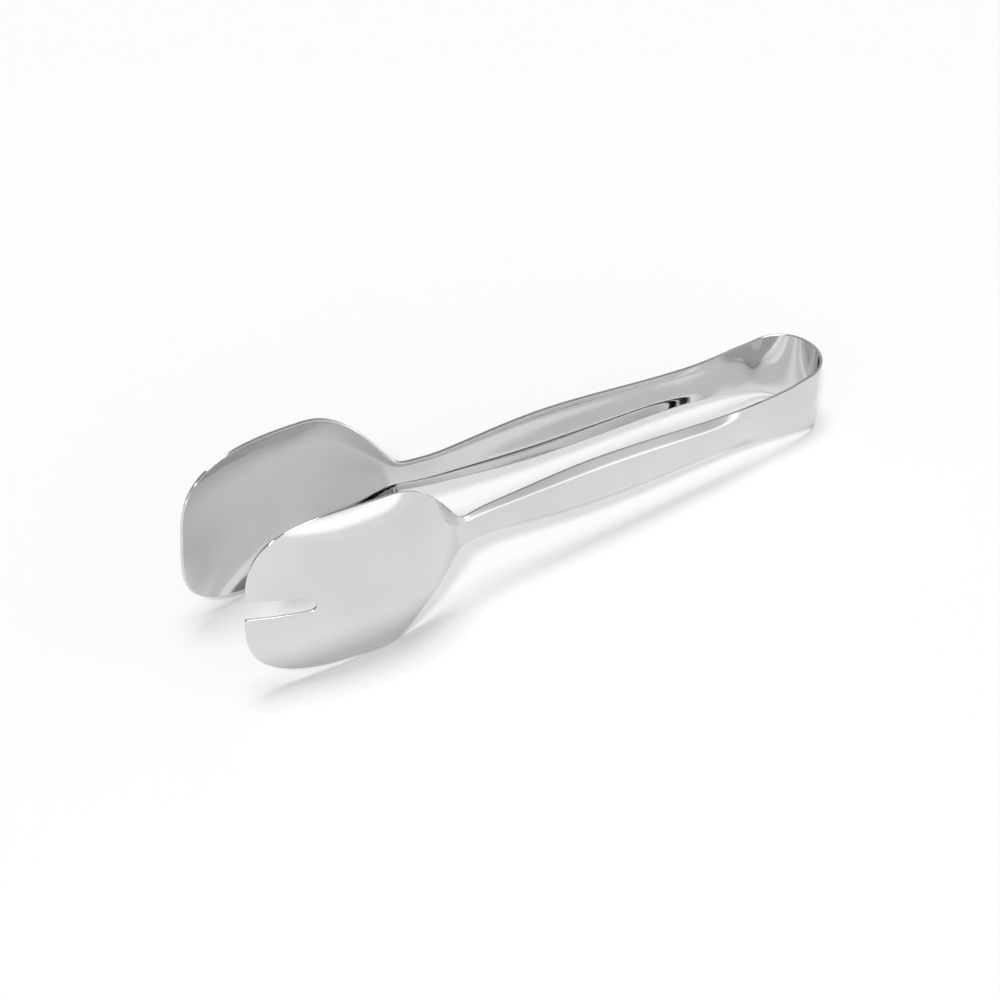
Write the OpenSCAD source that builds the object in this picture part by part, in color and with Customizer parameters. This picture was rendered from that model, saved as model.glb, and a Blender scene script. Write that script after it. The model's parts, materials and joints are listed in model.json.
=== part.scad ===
// Serving tongs: one steel strip bent round at a bow, with a spoon bowl on one arm
// and a slotted fork bowl on the other. They lie on their side, resting on the lower
// edge of the bow and on the lower rims of both bowls. The origin is on the floor, in
// the middle of the whole object; the bow points along +X and the spoon arm is at +Y.

/* [Overall] */
// Length from the crown of the bow to the tips of the bowls
length = 210; // [180:1:260]
// Thickness of the steel sheet
sheet = 1; // [0.8:0.1:1.6]

/* [Bow] */
// Width of the strip at the crown of the bow
crown_w = 23.2; // [18:0.1:30]
// How far the round end reaches along the tongs
bow_reach = 11; // [8:0.5:14]
// Half of the bow's opening, from the middle plane to the middle of the sheet
bow_half = 12.7; // [9:0.1:16]
// Distance from the crown to where the arms run straight
straight_at = 20; // [16:0.5:26]

/* [Handles] */
// Distance from the crown to the waist, where the strip is narrow
waist_at = 38; // [30:0.5:46]
// Width of the strip at the waist
waist_w = 13.3; // [10:0.1:18]
// Distance from the middle plane to the rims at the waist
waist_half = 13.4; // [10:0.1:17]
// Width of the handle at its belly
belly_w = 16.4; // [13:0.1:22]
// Distance from the middle plane to the rims at the belly
belly_half = 14.2; // [11:0.1:19]
// Depth of the channel pressed into the handle
channel_d = 2.2; // [0.6:0.1:3]
// Share of the width that stays flat between the channel's two bent flanges
channel_flat = 0.6; // [0.4:0.05:0.7]
// Distance from the crown to where the channel begins
channel_at = 22; // [16:0.5:30]
// Length over which the channel reaches its full depth
channel_run = 30; // [16:0.5:36]

/* [Necks] */
// Width of the strip at the neck
neck_w = 10; // [7:0.1:14]
// Distance from the middle plane to the rims where the arms come closest
neck_half = 14.1; // [10:0.1:18]
// Depth of the channel at the neck
neck_d = 1.4; // [0.4:0.1:2.4]
// Distance from the neck back to where the arms come closest
close_back = 15; // [8:0.5:18]

/* [Bowls] */
// Width of each bowl at its widest place
bowl_w = 50.6; // [38:0.1:66]
// Length of the bowl from its neck to its widest place
bowl_back = 29; // [24:0.5:40]
// Length of the bowl from its widest place to its tip
bowl_nose = 41; // [30:0.5:52]
// Depth of the dish below its rim
bowl_d = 6; // [3:0.1:9]
// Distance from the middle plane to the rims at the widest place
bowl_half = 21.1; // [16:0.1:28]
// Distance from the middle plane to the rims at the tips
tip_half = 17.1; // [13:0.1:24]

/* [Slot] */
// Length of the fork's slot
slot_len = 18.2; // [10:0.2:24]
// Width of the slot at its mouth
slot_mouth_w = 6.3; // [4:0.1:9]
// Width of the slot at its round end
slot_end_w = 4.2; // [3:0.1:6]

/* [Hidden] */

// Stations along an arm, measured from the crown
wide_at = length - bowl_nose;
neck_at = wide_at - bowl_back;
belly_at = (waist_at + neck_at) / 2;
close_at = neck_at - close_back;
// Share of the bowl's back that stays with the neck piece
root_share = 1 / 6;
// Where one zone of the strip ends and the next begins
shoulder_end = (straight_at + waist_at) / 2;
handle_end = close_at;
neck_end = neck_at + bowl_back * root_share;

// Exponents of the shoulder's flare, the blunt nose, the swelling behind it and the dish's section
flare_n = 1.7;
nose_n = 3.4;
swell_reach = 2.2;
swell_full = 1.3;
dish_n = 2.4;
// Softness of the channel's creases, as a share of a flange's width
crease = 0.25;

// Cells across the strip, and rows along each zone
COLS = 20;
BOW_COLS = 4;
BOW_ROWS = 36;
SHOULDER_ROWS = 12;
HANDLE_ROWS = 30;
NECK_ROWS = 12;
BACK_ROWS = 12;
NOSE_ROWS = 18;

// Step over which the sheet's slope is measured
STEP = 0.02;
// How far the slot's cutter runs past the sheet, and the facets of its round end
CUT = 20;
ROUND = 48;

STEEL = [0.82, 0.82, 0.84];

function ease(t) = (1 - cos(180 * max(0, min(1, t)))) / 2;
function between(x, x0, x1, y0, y1) = y0 + (y1 - y0) * ease((x - x0) / (x1 - x0));
// From 0 at the neck to 1 at the bowl's widest place
function swell(x) = pow(1 - pow(max(0, (wide_at - x) / bowl_back), swell_reach), swell_full);

// Half of the strip's width at station x, up to the widest place
function half_width(x) =
    x < waist_at ? (waist_w + (crown_w - waist_w) * pow(1 - x / waist_at, flare_n)) / 2 :
    x < belly_at ? between(x, waist_at, belly_at, waist_w, belly_w) / 2 :
    x < neck_at ? between(x, belly_at, neck_at, belly_w, neck_w) / 2 :
    (neck_w + (bowl_w - neck_w) * swell(x)) / 2;

// Distance of the rims from the middle plane at station x
function rim_half(x) =
    x < straight_at ? between(x, bow_reach, straight_at, bow_half, waist_half) :
    x < belly_at ? between(x, waist_at, belly_at, waist_half, belly_half) :
    x < close_at ? between(x, belly_at, close_at, belly_half, neck_half) :
    x < wide_at ? between(x, close_at, wide_at, neck_half, bowl_half) :
    bowl_half - (bowl_half - tip_half) * (1 - cos(90 * (x - wide_at) / bowl_nose));

// Depth of the channel or dish at station x, up to the widest place
function depth(x) =
    x < belly_at ? between(x, channel_at, channel_at + channel_run, 0, channel_d) :
    x < neck_at ? between(x, belly_at, neck_at, channel_d, neck_d) :
    neck_d + (bowl_d - neck_d) * swell(x);

// Section of the channel, from 1 in the middle to 0 at the rims
function ramp(t) = (t + sqrt(t * t + crease * crease)) / 2;
function flange(s) = ramp((abs(s) - channel_flat) / (1 - channel_flat));
function channel(s) = (flange(1) - flange(s)) / (flange(1) - flange(0));
function dish(r) = 1 - pow(abs(r), dish_n);
function section(x, s) = let (k = ease((x - neck_at) / bowl_back)) (1 - k) * channel(s) + k * dish(s);

// Distance from the middle plane to the sheet at station x, w above its middle line
function sheet_at(x, w) =
    x < wide_at ? rim_half(x) + depth(x) * section(x, w / half_width(x)) :
    let (a = (x - wide_at) / bowl_nose, b = 2 * abs(w) / bowl_w)
    rim_half(x) + bowl_d * dish(pow(pow(a, nose_n) + pow(b, nose_n), 1 / nose_n));

// One point of the sheet's outer (+1) or inner (-1) face, with the bow at x = 0
function skin(x, w, side) =
    let (
        dx = (sheet_at(x + STEP, w) - sheet_at(x - STEP, w)) / (2 * STEP),
        dw = (sheet_at(x, w + STEP) - sheet_at(x, w - STEP)) / (2 * STEP),
        k = side * sheet / 2 / norm([dx, 1, dw])
    )
    [k * dx - x, sheet_at(x, w) + k, w - k * dw];
function bow_skin(a, w, side) =
    let (k = side * sheet / 2 / norm([bow_half * cos(a), bow_reach * sin(a)]))
    [
        -bow_reach * (1 - cos(a)) + k * bow_half * cos(a),
        bow_half * sin(a) + k * bow_reach * sin(a),
        w
    ];

// Rows of [station, height] pairs over each zone
function across(x) = [for (j = [0 : COLS]) [x, half_width(x) * (2 * j / COLS - 1)]];
function zone(x0, x1, rows) = [for (i = [0 : rows]) across(x0 + (x1 - x0) * i / rows)];
function nose_row(q) = [
    for (j = [0 : COLS])
        let (s = 2 * j / COLS - 1)
        [
            wide_at + bowl_nose * q * pow(1 - pow(abs(s), nose_n) / 2, 1 / nose_n),
            bowl_w / 2 * s * pow(1 - pow(q, nose_n) / 2, 1 / nose_n)
        ]
];
function bowl_rows() = concat(
    zone(neck_end, wide_at, BACK_ROWS),
    [for (i = [1 : NOSE_ROWS]) nose_row(i / NOSE_ROWS)]
);
function both_skins(rows) = [
    for (side = [1, -1]) [for (row = rows) [for (p = row) skin(p[0], p[1], side)]]
];
function bow_skins() = [
    for (side = [1, -1]) [
        for (i = [0 : BOW_ROWS])
            let (a = 180 * i / BOW_ROWS - 90, h = half_width(bow_reach * (1 - cos(a))))
            [for (j = [0 : BOW_COLS]) bow_skin(a, h * (2 * j / BOW_COLS - 1), side)]
    ]
];

// A closed solid between two skins, each a grid of points
module sheet_solid(skins) {
    rows = len(skins[0]) - 1;
    cols = len(skins[0][0]) - 1;
    size = (rows + 1) * (cols + 1);
    points = [for (skin = skins) for (row = skin) for (p = row) p];
    corner = function(i, j) i * (cols + 1) + j;
    quad = function(a, b, c, d) [[a, b, c], [a, c, d]];
    cells = [for (i = [0 : rows - 1]) for (j = [0 : cols - 1]) [i, j]];
    outer = [
        for (c = cells)
            for (t = quad(corner(c[0], c[1]), corner(c[0] + 1, c[1]),
                          corner(c[0] + 1, c[1] + 1), corner(c[0], c[1] + 1))) t
    ];
    inner = [for (t = outer) [t[0] + size, t[2] + size, t[1] + size]];
    rim = concat(
        [for (i = [0 : rows]) corner(i, 0)],
        [for (j = [1 : cols]) corner(rows, j)],
        [for (i = [rows - 1 : -1 : 0]) corner(i, cols)],
        [for (j = [cols - 1 : -1 : 1]) corner(0, j)]
    );
    walls = [
        for (k = [0 : len(rim) - 1])
            let (a = rim[k], b = rim[(k + 1) % len(rim)])
            // Both solids that meet at a row split its cells along the same diagonal
            for (t = a < b ? quad(a, a + size, b + size, b) : quad(b, a, a + size, b + size)) t
    ];
    polyhedron(points, concat(outer, inner, walls));
}

// Lying on the floor: the line from the bow's lower edge touches the bowls' lower rims
function all_points(skins) = [for (skin = skins) for (row = skin) for (p = row) p];
bowl_points = all_points(both_skins(bowl_rows()));
bow_points = all_points(bow_skins());
crown_x = bow_skin(0, 0, 1)[0];
tilt = max([for (p = bowl_points) atan((-crown_w / 2 - p[2]) / (crown_x - p[0]))]);
function lain(p) = [p[0] * cos(tilt) + p[2] * sin(tilt), p[1], p[2] * cos(tilt) - p[0] * sin(tilt)];
lain_points = [for (p = concat(bowl_points, bow_points)) lain(p)];
middle_x = (max([for (p = lain_points) p[0]]) + min([for (p = lain_points) p[0]])) / 2;
lowest_z = min([for (p = lain_points) p[2]]);

module lie() translate([-middle_x, 0, -lowest_z]) rotate([0, tilt, 0]) children();
module other_side() mirror([0, 1, 0]) children();

module shoulder() sheet_solid(both_skins(zone(bow_reach, shoulder_end, SHOULDER_ROWS)));
module handle() sheet_solid(both_skins(zone(shoulder_end, handle_end, HANDLE_ROWS)));
module neck() sheet_solid(both_skins(zone(handle_end, neck_end, NECK_ROWS)));
module bowl() sheet_solid(both_skins(bowl_rows()));

// The slot runs through the sheet from its round end to past the tip
module slot() {
    end_x = length - slot_len + slot_end_w / 2;
    rotate([90, 0, 0]) translate([0, 0, -bowl_half - CUT]) linear_extrude(bowl_half + CUT) {
        translate([-end_x, 0]) circle(d = slot_end_w, $fn = ROUND);
        polygon([
            [-end_x, -slot_end_w / 2], [-length, -slot_mouth_w / 2], [-length - CUT, -slot_mouth_w / 2],
            [-length - CUT, slot_mouth_w / 2], [-length, slot_mouth_w / 2], [-end_x, slot_end_w / 2]
        ]);
    }
}

module bow() color(STEEL) lie() sheet_solid(bow_skins());
module spoon_shoulder() color(STEEL) lie() shoulder();
module spoon_handle() color(STEEL) lie() handle();
module spoon_neck() color(STEEL) lie() neck();
module spoon_bowl() color(STEEL) lie() bowl();
module fork_shoulder() color(STEEL) lie() other_side() shoulder();
module fork_handle() color(STEEL) lie() other_side() handle();
module fork_neck() color(STEEL) lie() other_side() neck();
module fork_bowl() color(STEEL) lie() other_side() difference() {
    bowl();
    slot();
}

bow();
spoon_shoulder();
spoon_handle();
spoon_neck();
spoon_bowl();
fork_shoulder();
fork_handle();
fork_neck();
fork_bowl();
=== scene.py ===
"""Serving tongs of polished steel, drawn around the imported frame.

The strip is computed as one dense surface from the same sizes as the CAD model, in
millimetres from the crown of the bow, then cut into one piece for each zone. The
hinge's place and axis in the frame put it where the CAD part lies.
"""
import json
import math

import bmesh
import bpy
import numpy as np
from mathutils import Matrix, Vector


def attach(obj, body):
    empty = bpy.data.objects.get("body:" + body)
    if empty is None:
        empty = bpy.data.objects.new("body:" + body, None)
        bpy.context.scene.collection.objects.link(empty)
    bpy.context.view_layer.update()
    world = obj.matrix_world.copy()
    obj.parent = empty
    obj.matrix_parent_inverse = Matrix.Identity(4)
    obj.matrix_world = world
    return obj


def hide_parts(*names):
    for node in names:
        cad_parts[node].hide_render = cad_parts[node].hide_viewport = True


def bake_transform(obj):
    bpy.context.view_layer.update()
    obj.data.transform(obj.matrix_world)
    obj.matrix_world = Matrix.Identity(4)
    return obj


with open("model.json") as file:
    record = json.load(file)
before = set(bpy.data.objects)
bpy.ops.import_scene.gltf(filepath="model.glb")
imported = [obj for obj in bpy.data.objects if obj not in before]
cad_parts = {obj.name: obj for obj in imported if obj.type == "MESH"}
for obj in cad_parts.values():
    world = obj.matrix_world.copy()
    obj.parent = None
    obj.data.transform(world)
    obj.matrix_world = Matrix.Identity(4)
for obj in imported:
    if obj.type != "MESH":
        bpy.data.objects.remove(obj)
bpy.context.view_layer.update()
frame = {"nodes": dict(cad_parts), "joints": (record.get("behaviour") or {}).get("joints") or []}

MM = 0.001

# Sizes of the strip in millimetres, named as in the CAD model
LENGTH = 210.0
SHEET = 1.0
CROWN_W = 23.2
BOW_REACH = 11.0
BOW_HALF = 12.7
STRAIGHT_AT = 20.0
WAIST_AT = 38.0
WAIST_W = 13.3
WAIST_HALF = 13.4
BELLY_W = 16.4
BELLY_HALF = 14.2
CHANNEL_D = 2.2
CHANNEL_FLAT = 0.6
CHANNEL_AT = 22.0
CHANNEL_RUN = 30.0
NECK_W = 10.0
NECK_HALF = 14.1
NECK_D = 1.4
CLOSE_BACK = 15.0
BOWL_W = 50.6
BOWL_BACK = 29.0
BOWL_NOSE = 41.0
BOWL_D = 6.0
BOWL_HALF = 21.1
TIP_HALF = 17.1
SLOT_LEN = 18.2
SLOT_MOUTH_W = 6.3
SLOT_END_W = 4.2

WIDE_AT = LENGTH - BOWL_NOSE
NECK_AT = WIDE_AT - BOWL_BACK
BELLY_AT = (WAIST_AT + NECK_AT) / 2
CLOSE_AT = NECK_AT - CLOSE_BACK
SHOULDER_END = (STRAIGHT_AT + WAIST_AT) / 2
HANDLE_END = CLOSE_AT
ROOT_SHARE = 1 / 6
NECK_END = NECK_AT + BOWL_BACK * ROOT_SHARE

# Exponents of the shoulder's flare, the blunt nose, the swelling behind it and the dish's
# section, and how round the crease is, which is sharper than the CAD model's facets can show
FLARE_N = 1.7
NOSE_N = 3.4
SWELL_REACH = 2.2
SWELL_FULL = 1.3
DISH_N = 2.4
CREASE = 0.15

# Radius of the deburred edges, and how finely the sheet is drawn
EDGE_R = 0.35
EDGE_STEPS = 5
COLS = 56
ROW_STEP = 0.8
NOSE_ROWS = 52
SLOT_ROWS = 10

# Steps of the strip's line and of the table made from it, how far both run past the tip, how
# far the table is softened, and the reach over which a slope is measured
BOW_POINTS = 400
LINE_STEP = 0.05
TABLE_STEP = 0.25
PAST_TIP = 12
SOFT_MM = 2.0
SLOPE_REACH = 0.5


# ---------------------------------------------------------------- the strip's form

def ease(t):
    """A smooth rise from 0 to 1."""
    return (1 - np.cos(np.pi * np.clip(t, 0, 1))) / 2


def between(x, x0, x1, y0, y1):
    """A smooth change from y0 at x0 to y1 at x1."""
    return y0 + (y1 - y0) * ease((x - x0) / (x1 - x0))


def swell(x):
    """From 0 at the neck to 1 at the bowl's widest place."""
    return (1 - np.clip((WIDE_AT - x) / BOWL_BACK, 0, 1) ** SWELL_REACH) ** SWELL_FULL


def half_width(x):
    """Half of the strip's width."""
    flare = (WAIST_W + (CROWN_W - WAIST_W) * np.abs(1 - x / WAIST_AT) ** FLARE_N) / 2
    handle = between(x, WAIST_AT, BELLY_AT, WAIST_W, BELLY_W) / 2
    shank = between(x, BELLY_AT, NECK_AT, BELLY_W, NECK_W) / 2
    bowl = (NECK_W + (BOWL_W - NECK_W) * swell(x)) / 2
    return np.select([x < WAIST_AT, x < BELLY_AT, x < NECK_AT], [flare, handle, shank], bowl)


def rim_half(x):
    """Distance from the middle plane to the middle of the sheet at the rims."""
    start = between(x, BOW_REACH, STRAIGHT_AT, BOW_HALF, WAIST_HALF)
    handle = between(x, WAIST_AT, BELLY_AT, WAIST_HALF, BELLY_HALF)
    shank = between(x, BELLY_AT, CLOSE_AT, BELLY_HALF, NECK_HALF)
    bowl = between(x, CLOSE_AT, WIDE_AT, NECK_HALF, BOWL_HALF)
    quarter = np.pi / 2 * (x - WIDE_AT) / BOWL_NOSE
    nose = BOWL_HALF - (BOWL_HALF - TIP_HALF) * (1 - np.cos(quarter))
    spans = [x < STRAIGHT_AT, x < BELLY_AT, x < CLOSE_AT, x < WIDE_AT]
    return np.select(spans, [start, handle, shank, bowl], nose)


def depth(x):
    """How far the channel or the dish is pressed outwards."""
    handle = between(x, CHANNEL_AT, CHANNEL_AT + CHANNEL_RUN, 0, CHANNEL_D)
    shank = between(x, BELLY_AT, NECK_AT, CHANNEL_D, NECK_D)
    bowl = NECK_D + (BOWL_D - NECK_D) * swell(x)
    return np.select([x < BELLY_AT, x < NECK_AT], [handle, shank], bowl)


def flange(s):
    """Rise of the channel's side from its rounded crease; s is 0 in the middle and 1 at a rim."""
    t = (np.abs(s) - CHANNEL_FLAT) / (1 - CHANNEL_FLAT)
    return (t + np.sqrt(t * t + CREASE * CREASE)) / 2


def channel(s):
    """The handle's section, from 1 in the middle to 0 at a rim."""
    return (flange(1.0) - flange(s)) / (flange(1.0) - flange(0.0))


def dish(r):
    """The bowl's section, from 1 in the middle to 0 at the rim."""
    return 1 - np.abs(r) ** DISH_N


def soften(values, mirror):
    """Blurs a row of values without shrinking its bends; mirror is its sign beyond the crown."""
    reach = int(4 * SOFT_MM / TABLE_STEP)
    k = np.exp(-0.5 * (np.arange(-reach, reach + 1) * TABLE_STEP / SOFT_MM) ** 2)
    k /= k.sum()

    def blur(v):
        start = mirror * v[reach:0:-1]
        end = 2 * v[-1] - v[-2:-reach - 2:-1]
        return np.convolve(np.concatenate([start, v, end]), k, "valid")

    once = blur(values)
    return 2 * once - blur(once)


def station_table():
    """The strip's line, width, depth and section at even steps from the crown past the tip."""
    a = np.linspace(0, np.pi / 2, BOW_POINTS)
    straight = np.arange(BOW_REACH, LENGTH + PAST_TIP, LINE_STEP)[1:]
    x = np.concatenate([BOW_REACH * (1 - np.cos(a)), straight])
    y = np.concatenate([BOW_HALF * np.sin(a), rim_half(x[len(a):])])
    run = np.concatenate([[0], np.cumsum(np.hypot(np.diff(x), np.diff(y)))])
    at = np.arange(0, run[-1], TABLE_STEP)
    x, y = np.interp(at, run, x), np.interp(at, run, y)
    rows = {"x": (x, 1), "y": (y, -1), "h": (half_width(x), 1), "d": (depth(x), 1)}
    rows["k"] = (ease((x - NECK_AT) / BOWL_BACK), 1)
    return {name: soften(*row) for name, row in rows.items()}


TABLE = station_table()


def at_x(name, x):
    """One column of the table at station x."""
    return np.interp(x, TABLE["x"], TABLE[name])


HALF_BOWL = float(at_x("h", WIDE_AT))


def sheet_y(x, w):
    """Distance from the middle plane to the middle of the sheet, at station x and height w."""
    s = w / at_x("h", x)
    k = at_x("k", x)
    strip = (1 - k) * channel(s) + k * dish(s)
    a = np.clip((x - WIDE_AT) / BOWL_NOSE, 0, None)
    nose = dish((a ** NOSE_N + np.abs(w / HALF_BOWL) ** NOSE_N) ** (1 / NOSE_N))
    return at_x("y", x) + at_x("d", x) * np.where(x < WIDE_AT, strip, nose)


def arm_surface(x, w):
    """Middle points and unit normals of an arm's sheet, in millimetres."""
    e = SLOPE_REACH
    points = np.stack([x, sheet_y(x, w), w], -1)
    slope_x = (sheet_y(x + e, w) - sheet_y(x - e, w)) / (2 * e)
    slope_w = (sheet_y(x, w + e) - sheet_y(x, w - e)) / (2 * e)
    normals = np.stack([-slope_x, np.ones_like(x), -slope_w], -1)
    return points, normals / np.linalg.norm(normals, axis=-1, keepdims=True)


def bow_surface(at, s):
    """The same for half of the bow, at places along the table from the crown, with shares s across."""
    step = np.arange(len(TABLE["x"]))
    x, y, h = (np.interp(at, step, TABLE[name]) for name in ("x", "y", "h"))
    tx, ty = (np.interp(at, step, np.gradient(TABLE[name])) for name in ("x", "y"))
    tx[at == 0] = 0
    points = np.stack([x, y, s * (h - EDGE_R)], -1)
    normals = np.stack([-ty, tx, 0 * tx], -1)
    return points, normals / np.linalg.norm(normals, axis=-1, keepdims=True)


# ---------------------------------------------------------------- placing in the frame

def placing():
    """The strip's own axes and the crown's place in the row frame, from the spoon arm's hinge."""
    hinge = next(j for j in frame["joints"] if j["child"] == "spoon_arm")
    up = Vector(hinge["axis"]).normalized()
    side = Vector((0, 1, 0))
    along = up.cross(side)
    inner = BOW_HALF - SHEET / 2
    crown = Vector(hinge["pos_m"]) - along * BOW_REACH * MM - side * inner * MM
    return np.array(crown), np.array([along, side, up])


CROWN, AXES = placing()


def placed(points, side):
    """Points of the strip in the row frame; side is 1 for the spoon arm and -1 for the fork arm."""
    return CROWN + (points * [1, side, 1] * MM) @ AXES


def turned(vectors, side):
    """The same for directions."""
    return (vectors * [1, side, 1]) @ AXES


# ---------------------------------------------------------------- rows of the sheet

def slot_half(x):
    """Half of the slot's width where the flat sheet stops beside it, at station x."""
    r = SLOT_END_W / 2 + EDGE_R
    centre = LENGTH - SLOT_LEN + SLOT_END_W / 2
    round_end = np.sqrt(np.clip(r * r - (x - centre) ** 2, 0, None))
    taper = r + (x - centre) * (SLOT_MOUTH_W - SLOT_END_W) / 2 / (LENGTH - centre)
    return np.where(x < centre, round_end, taper)


def nose_shares(slotted):
    """How far along the nose each row lies. A slot adds close rows round its round end."""
    even = np.linspace(0, 1, NOSE_ROWS + 1)[1:]
    if not slotted:
        return even
    r = SLOT_END_W / 2 + EDGE_R
    centre = LENGTH - SLOT_LEN + SLOT_END_W / 2
    turn = np.linspace(0, np.pi / 2, SLOT_ROWS + 1)
    close = (centre - r * np.cos(turn) - WIDE_AT) / (BOWL_NOSE - EDGE_R)
    gap = 0.5 / NOSE_ROWS
    return np.sort(np.concatenate([even[(even < close[0] - gap) | (even > close[-1] + gap)], close]))


def nose_row(q, shares, slotted):
    """Stations and heights of one row of the nose. A slot pushes the two halves apart."""
    reach, half = BOWL_NOSE - EDGE_R, HALF_BOWL - EDGE_R
    squeeze = (1 - q ** NOSE_N / 2) ** (1 / NOSE_N)
    if slotted:
        open_share = float(slot_half(WIDE_AT + reach * q)) / (half * squeeze)
        side = np.sign(np.arange(len(shares)) - (len(shares) - 1) / 2)
        shares = side * (open_share + np.abs(shares) * (1 - open_share))
    along = q * (1 - np.abs(shares) ** NOSE_N / 2) ** (1 / NOSE_N)
    return WIDE_AT + reach * along, half * shares * squeeze


def sheet_rows(slotted):
    """All rows of half of the tongs, from the crown to a tip, and where each zone ends.

    Each row holds the middle column twice, once for each side of the slot.
    """
    lower = np.linspace(-1, 0, COLS // 2 + 1)
    shares = np.concatenate([lower, -lower[::-1]])
    end = np.interp(BOW_REACH, TABLE["x"], np.arange(len(TABLE["x"])))
    count = round(end * TABLE_STEP / ROW_STEP)
    grid = [bow_surface(np.full(len(shares), at), shares) for at in np.linspace(0, end, count + 1)]
    ends = {"bow": count}
    start = BOW_REACH
    for zone, stop in (
        ("shoulder", SHOULDER_END), ("handle", HANDLE_END), ("neck", NECK_END), ("bowl", WIDE_AT)
    ):
        for x in np.linspace(start, stop, round((stop - start) / ROW_STEP) + 1)[1:]:
            x = np.full(len(shares), x)
            grid.append(arm_surface(x, shares * (at_x("h", x) - EDGE_R)))
        ends[zone] = len(grid) - 1
        start = stop
    for q in nose_shares(slotted):
        grid.append(arm_surface(*nose_row(q, shares, slotted)))
    split = len(grid)
    if slotted:
        middle = COLS // 2
        opened = [i for i in range(ends["bowl"], len(grid)) if grid[i][0][middle + 1][2] > 1e-6]
        split = opened[0]
    ends["bowl"] = len(grid) - 1
    points, normals = (np.array([row[k] for row in grid]) for k in (0, 1))
    return points, normals, ends, split


# ---------------------------------------------------------------- skins, edges and pieces

def rim_path(rows, split):
    """Grid places round the sheet's free edge: up one side, round the front, down the other."""
    mid, last = COLS // 2, COLS + 1
    path = [(i, 0) for i in range(rows + 1)]
    path += [(rows, j) for j in range(1, mid + 1)]
    path += [(i, mid) for i in range(rows - 1, split - 2, -1)]
    path += [(i, mid + 1) for i in range(split, rows + 1)]
    path += [(rows, j) for j in range(mid + 2, last + 1)]
    path += [(i, last) for i in range(rows - 1, -1, -1)]
    return path


def edge_roll():
    """(outward, upward) steps and directions of the rounded edge, outer skin to inner skin."""
    flat = SHEET / 2 - EDGE_R
    angles = np.linspace(0, np.pi / 2, EDGE_STEPS + 1)
    half = [(math.sin(a), math.cos(a), flat + EDGE_R * math.cos(a)) for a in angles]
    return half + [(out, -up, -lift) for out, up, lift in reversed(half)]


def whole_strip(slotted):
    """Vertices, their normals and faces of half of the tongs, in the strip's own axes.

    Each face comes with its row, so that the pieces can be cut between rows.
    """
    points, normals, ends, split = sheet_rows(slotted)
    rows, mid, last = len(points) - 1, COLS // 2, COLS + 1
    ids = np.arange(points[..., 0].size).reshape(points.shape[:2])
    ids[:split, mid + 1] = ids[:split, mid]
    size = ids.size
    flat_points, flat_normals = points.reshape(-1, 3), normals.reshape(-1, 3)
    path = [ids[p] for p in rim_path(rows, split)]
    path_rows = [p[0] for p in rim_path(rows, split)]
    roll = edge_roll()
    steps = len(roll) - 2
    base, normal = flat_points[path], flat_normals[path]
    along = np.gradient(base, axis=0)
    out = np.cross(normal, along)
    out /= np.linalg.norm(out, axis=1, keepdims=True)
    half = SHEET / 2
    places = [flat_points + flat_normals * half, flat_points - flat_normals * half]
    facing = [flat_normals, -flat_normals]
    rolled = [base + out * EDGE_R * o + normal * lift for o, up, lift in roll[1:-1]]
    turned_out = [out * o + normal * up for o, up, lift in roll[1:-1]]
    places.append(np.stack(rolled, 1).reshape(-1, 3))
    facing.append(np.stack(turned_out, 1).reshape(-1, 3))

    def edge(p):
        first = 2 * size + p * steps
        return [path[p]] + list(range(first, first + steps)) + [path[p] + size]

    faces = []
    for i in range(rows):
        for j in list(range(mid)) + list(range(mid + 1, last)):
            a, b, c, d = ids[i, j], ids[i, j + 1], ids[i + 1, j + 1], ids[i + 1, j]
            faces += [(i, (a, b, c, d)), (i, (d + size, c + size, b + size, a + size))]
    for p in range(len(path) - 1):
        row = min(path_rows[p], path_rows[p + 1], rows - 1)
        here, there = edge(p), edge(p + 1)
        for k in range(len(here) - 1):
            faces.append((row, (here[k], here[k + 1], there[k + 1], there[k])))

    def cap(i):
        """Faces across the sheet at a row, where a piece is cut from its neighbour."""
        line = [ids[i, j] for j in range(last + 1) if j != mid + 1]
        across = [(a, b, b + size, a + size) for a, b in zip(line, line[1:])]
        return across + [tuple(edge(i)), tuple(edge(len(path) - 1 - i))]

    return np.concatenate(places), np.concatenate(facing), faces, cap, ends


def make_piece(name, strip, zone, side, material):
    """One zone of the strip as a closed mesh with the whole strip's smooth normals."""
    places, facing, faces, cap, ends = strip
    names = list(ends)
    first = ends[names[names.index(zone) - 1]] if zone != names[0] else 0
    stop = ends[zone]
    chosen = [f for row, f in faces if first <= row < stop]
    smooth = len(chosen)
    chosen += cap(first)
    if zone != names[-1]:
        chosen += cap(stop)
    used = sorted({v for f in chosen for v in f})
    new = {v: k for k, v in enumerate(used)}
    mesh = bpy.data.meshes.new(name)
    mesh.from_pydata(placed(places[used], side), [], [[new[v] for v in f] for f in chosen])
    bm = bmesh.new()
    bm.from_mesh(mesh)
    bmesh.ops.recalc_face_normals(bm, faces=bm.faces)
    bm.to_mesh(mesh)
    bm.free()
    vertex_normals = turned(facing[used], side)
    loops = np.array([loop.vertex_index for loop in mesh.loops])
    loop_normals = vertex_normals[loops]
    for face in list(mesh.polygons)[smooth:]:
        loop_normals[face.loop_start:face.loop_start + face.loop_total] = face.normal
    mesh.polygons.foreach_set("use_smooth", [True] * len(mesh.polygons))
    mesh.normals_split_custom_set(loop_normals.tolist())
    mesh.materials.append(material)
    piece = bpy.data.objects.new(name, mesh)
    bpy.context.scene.collection.objects.link(piece)
    return piece


# ---------------------------------------------------------------- material

def node(tree, kind, **settings):
    made = tree.nodes.new("ShaderNode" + kind)
    for key, value in settings.items():
        setattr(made, key, value)
    return made


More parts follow.
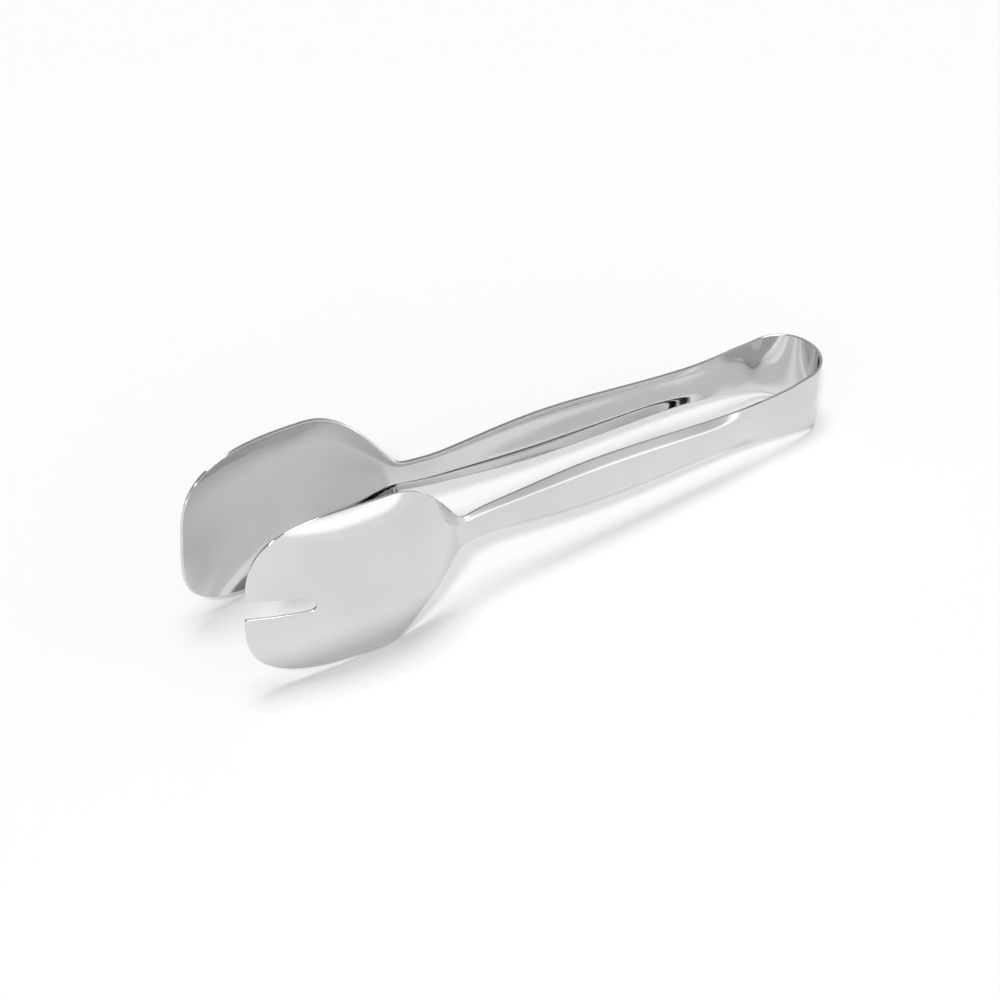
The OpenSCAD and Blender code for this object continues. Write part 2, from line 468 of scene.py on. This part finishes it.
# Polished steel: repeats of the hairlines to the metre along each axis and of the rub marks, how
# rough and how bright it is where it is cleanest and where it is most rubbed, and the hairlines
HAIRLINES = (60, 900, 1400)
RUB_SCALE = 45
RUB_RANGE = (0.3, 0.75)
ROUGH_RANGE = (0.045, 0.11)
TONE_RANGE = (0.3, 0.7)
TONES = ((0.63, 0.63, 0.64, 1), (0.68, 0.68, 0.69, 1))
HAIRLINE_BUMP = 0.06
HAIRLINE_DEPTH = 0.00004


def steel_material():
    """Polished stainless steel with fine hairlines and a few faint rub marks."""
    material = bpy.data.materials.new("polished_steel")
    material.use_nodes = True
    tree = material.node_tree
    link = tree.links.new
    shader = tree.nodes["Principled BSDF"]
    shader.inputs["Metallic"].default_value = 1
    place = node(tree, "TexCoord").outputs["Object"]

    stretch = node(tree, "Mapping")
    stretch.inputs["Scale"].default_value = HAIRLINES
    link(place, stretch.inputs["Vector"])
    hairline = node(tree, "TexNoise")
    hairline.inputs["Scale"].default_value = 1
    hairline.inputs["Detail"].default_value = 3
    link(stretch.outputs[0], hairline.inputs["Vector"])

    rub = node(tree, "TexNoise")
    rub.inputs["Scale"].default_value = RUB_SCALE
    rub.inputs["Detail"].default_value = 4
    link(place, rub.inputs["Vector"])

    rough = node(tree, "MapRange")
    rough.inputs["From Min"].default_value = RUB_RANGE[0]
    rough.inputs["From Max"].default_value = RUB_RANGE[1]
    rough.inputs["To Min"].default_value = ROUGH_RANGE[0]
    rough.inputs["To Max"].default_value = ROUGH_RANGE[1]
    link(rub.outputs["Fac"], rough.inputs["Value"])
    link(rough.outputs[0], shader.inputs["Roughness"])

    tone = node(tree, "ValToRGB")
    for stop, position, colour in zip(tone.color_ramp.elements, TONE_RANGE, TONES):
        stop.position = position
        stop.color = colour
    link(rub.outputs["Fac"], tone.inputs["Fac"])
    link(tone.outputs["Color"], shader.inputs["Base Color"])

    bump = node(tree, "Bump")
    bump.inputs["Strength"].default_value = HAIRLINE_BUMP
    bump.inputs["Distance"].default_value = HAIRLINE_DEPTH
    link(hairline.outputs["Fac"], bump.inputs["Height"])
    link(bump.outputs[0], shader.inputs["Normal"])
    return material


STEEL = steel_material()


# ---------------------------------------------------------------- the tongs

ZONES = ("bow", "shoulder", "handle", "neck", "bowl")


def make_arm(arm, side, slotted):
    """One arm with its half of the bow, as one piece for each zone."""
    strip = whole_strip(slotted)
    for zone in ZONES:
        if zone == "bow":
            half = make_piece(f"bow_{arm}_side", strip, zone, side, STEEL)
            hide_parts("bow")
            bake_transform(half)
        else:
            piece = make_piece(f"{arm}_{zone}_steel", strip, zone, side, STEEL)
            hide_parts(f"{arm}_{zone}")
            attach(piece, f"{arm}_arm")


make_arm("spoon", 1, False)
make_arm("fork", -1, True)
for cad_node in frame["nodes"].values():
    cad_node.data.materials.clear()
    cad_node.data.materials.append(STEEL)


# ---------------------------------------------------------------- floor, light and camera

def plain_material(name, colour, roughness):
    material = bpy.data.materials.new(name)
    material.use_nodes = True
    shader = material.node_tree.nodes["Principled BSDF"]
    shader.inputs["Base Color"].default_value = (*colour, 1)
    shader.inputs["Roughness"].default_value = roughness
    return material


FLOOR_HALF = 3.0
FLOOR_TONE = 0.74
FLOOR_ROUGHNESS = 0.6


def make_floor():
    half = FLOOR_HALF
    mesh = bpy.data.meshes.new("floor")
    corners = [(-half, -half, 0), (half, -half, 0), (half, half, 0), (-half, half, 0)]
    mesh.from_pydata(corners, [], [(0, 1, 2, 3)])
    mesh.materials.append(plain_material("white_paper", (FLOOR_TONE,) * 3, FLOOR_ROUGHNESS))
    floor = bpy.data.objects.new("floor", mesh)
    bpy.context.scene.collection.objects.link(floor)


def curve(tree, source, points):
    """A value that follows straight lines through (place, brightness) points of a 0 to 1 scale."""
    ramp = node(tree, "ValToRGB")
    stops = ramp.color_ramp.elements
    while len(stops) < len(points):
        stops.new(1.0)
    for stop, (place, level) in zip(stops, points):
        stop.position = place
        stop.color = (level, level, level, 1)
    tree.links.new(source, ramp.inputs["Fac"])
    return ramp.outputs["Color"]


# Brightness of the studio by the sine of the height above the floor: towards the camera, a plain
# wall, a bright window band and a dim ceiling; away from it, a dark room below the same ceiling
FRONT_SKY = (
    (0.0, 0.64), (0.08, 0.64), (0.14, 0.96), (0.24, 0.96), (0.30, 0.55), (0.6, 0.25), (1.0, 0.20)
)
BACK_SKY = ((0.0, 0.0), (0.36, 0.0), (0.42, 0.60), (0.7, 0.25), (1.0, 0.20))
SKY_GAIN = 1.6

# Where, from the camera's side to the far side, the first sky gives way to the second
TURN = (-0.05, 0.15)


def make_world():
    """A bright studio with a dark room low behind the object; the camera itself sees plain white."""
    world = bpy.data.worlds.new("studio")
    bpy.context.scene.world = world
    world.use_nodes = True
    tree = world.node_tree
    link = tree.links.new
    tree.nodes.clear()
    split = node(tree, "SeparateXYZ")
    link(node(tree, "TexCoord").outputs["Generated"], split.inputs[0])
    turn = node(tree, "MapRange", interpolation_type="SMOOTHSTEP")
    turn.inputs["From Min"].default_value = TURN[0]
    turn.inputs["From Max"].default_value = TURN[1]
    link(split.outputs["Y"], turn.inputs["Value"])
    mix = node(tree, "MixRGB")
    link(turn.outputs[0], mix.inputs["Fac"])
    link(curve(tree, split.outputs["Z"], FRONT_SKY), mix.inputs["Color1"])
    link(curve(tree, split.outputs["Z"], BACK_SKY), mix.inputs["Color2"])

    studio = node(tree, "Background")
    studio.inputs["Strength"].default_value = SKY_GAIN
    link(mix.outputs["Color"], studio.inputs["Color"])
    plain = node(tree, "Background")
    plain.inputs["Color"].default_value = (1, 1, 1, 1)
    blend = node(tree, "MixShader")
    link(node(tree, "LightPath").outputs["Is Camera Ray"], blend.inputs[0])
    link(studio.outputs[0], blend.inputs[1])
    link(plain.outputs[0], blend.inputs[2])
    link(blend.outputs[0], node(tree, "OutputWorld").inputs["Surface"])


def aim(thing, place, target):
    thing.location = place
    thing.rotation_euler = (Vector(target) - Vector(place)).to_track_quat("-Z", "Y").to_euler()


def far_light(name, place, spread, strength):
    """Light from a far softbox towards the middle of the floor; spread is its width in degrees."""
    light = bpy.data.lights.new(name, "SUN")
    light.angle = math.radians(spread)
    light.energy = strength
    lamp = bpy.data.objects.new(name, light)
    bpy.context.scene.collection.objects.link(lamp)
    aim(lamp, place, (0, 0, 0))


def make_camera():
    """The view of the object from the front left and above, with a long lens from 0.8 m away."""
    azimuth, elevation, roll = (math.radians(a) for a in (-34.01, 36.78, -1.19))
    distance = 0.7983
    target = Vector((-0.0004, 0.0154, 0.0))
    away = Vector((
        math.cos(elevation) * math.sin(azimuth),
        -math.cos(elevation) * math.cos(azimuth),
        math.sin(elevation),
    ))
    data = bpy.data.cameras.new("camera")
    data.sensor_width = 36
    data.lens = 96.48
    camera = bpy.data.objects.new("camera", data)
    bpy.context.scene.collection.objects.link(camera)
    aim(camera, target + away * distance, target)
    camera.rotation_euler.rotate_axis("Z", roll)
    bpy.context.scene.camera = camera


make_floor()
make_world()
far_light("overhead", (0.05, 0.12, 1.6), spread=28, strength=1.75)
far_light("key", (-1.2, -1.32, 1.66), spread=7, strength=1.55)
make_camera()
bpy.context.scene.view_settings.view_transform = "Standard"
